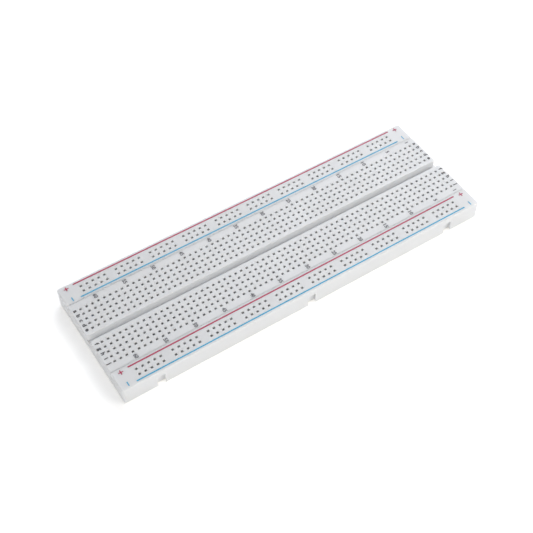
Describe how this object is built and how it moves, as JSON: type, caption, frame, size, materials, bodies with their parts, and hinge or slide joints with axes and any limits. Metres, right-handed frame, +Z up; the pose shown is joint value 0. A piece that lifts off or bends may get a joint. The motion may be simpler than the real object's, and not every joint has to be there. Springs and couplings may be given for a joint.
{
  "type": "solderless breadboard",
  "caption": "Solderless breadboard: white terminal strip with a centre groove, locked between two power rails, with sprung contact clips inside and foam adhesive backing.",
  "frame": {"origin": "middle of the underside, on the terminal strip's release liner", "axes": "+X along the length towards column 1, +Y across the board towards row a, +Z up out of the face that takes the leads"},
  "size_m": [0.165, 0.0561, 0.0093],
  "materials": {
    "strip_plastic": "satin",
    "contact_metal": "polished",
    "pad_foam": "matte",
    "liner_paper": "satin"
  },
  "bodies": {
    "rail_j": {"power_rail_j": "strip_plastic", "bus_clip_j_plus": "contact_metal", "bus_clip_j_minus": "contact_metal", "foam_pad_j": "pad_foam", "liner_j": "liner_paper"},
    "terminal": {"terminal_strip": "strip_plastic", "clips_ae_01_05": "contact_metal", "clips_ae_06_10": "contact_metal", "clips_ae_11_15": "contact_metal", "clips_ae_16_20": "contact_metal", "clips_ae_21_25": "contact_metal", "clips_ae_26_30": "contact_metal", "clips_ae_31_35": "contact_metal", "clips_ae_36_40": "contact_metal", "clips_ae_41_45": "contact_metal", "clips_ae_46_50": "contact_metal", "clips_ae_51_55": "contact_metal", "clips_ae_56_60": "contact_metal", "clips_ae_61_63": "contact_metal", "clips_fj_01_05": "contact_metal", "clips_fj_06_10": "contact_metal", "clips_fj_11_15": "contact_metal", "clips_fj_16_20": "contact_metal", "clips_fj_21_25": "contact_metal", "clips_fj_26_30": "contact_metal", "clips_fj_31_35": "contact_metal", "clips_fj_36_40": "contact_metal", "clips_fj_41_45": "contact_metal", "clips_fj_46_50": "contact_metal", "clips_fj_51_55": "contact_metal", "clips_fj_56_60": "contact_metal", "clips_fj_61_63": "contact_metal", "foam_pad_terminal": "pad_foam", "liner_terminal": "liner_paper"},
    "rail_a": {"power_rail_a": "strip_plastic", "bus_clip_a_plus": "contact_metal", "bus_clip_a_minus": "contact_metal", "foam_pad_a": "pad_foam", "liner_a": "liner_paper"}
  },
  "joints": [
    {"name": "terminal_lift", "type": "slide", "parent": "rail_j", "child": "terminal", "axis": [0, 0, 1], "range_m": [0, 0.006]},
    {"name": "rail_a_lift", "type": "slide", "parent": "terminal", "child": "rail_a", "axis": [0, 0, 1], "range_m": [0, 0.006]}
  ]
}
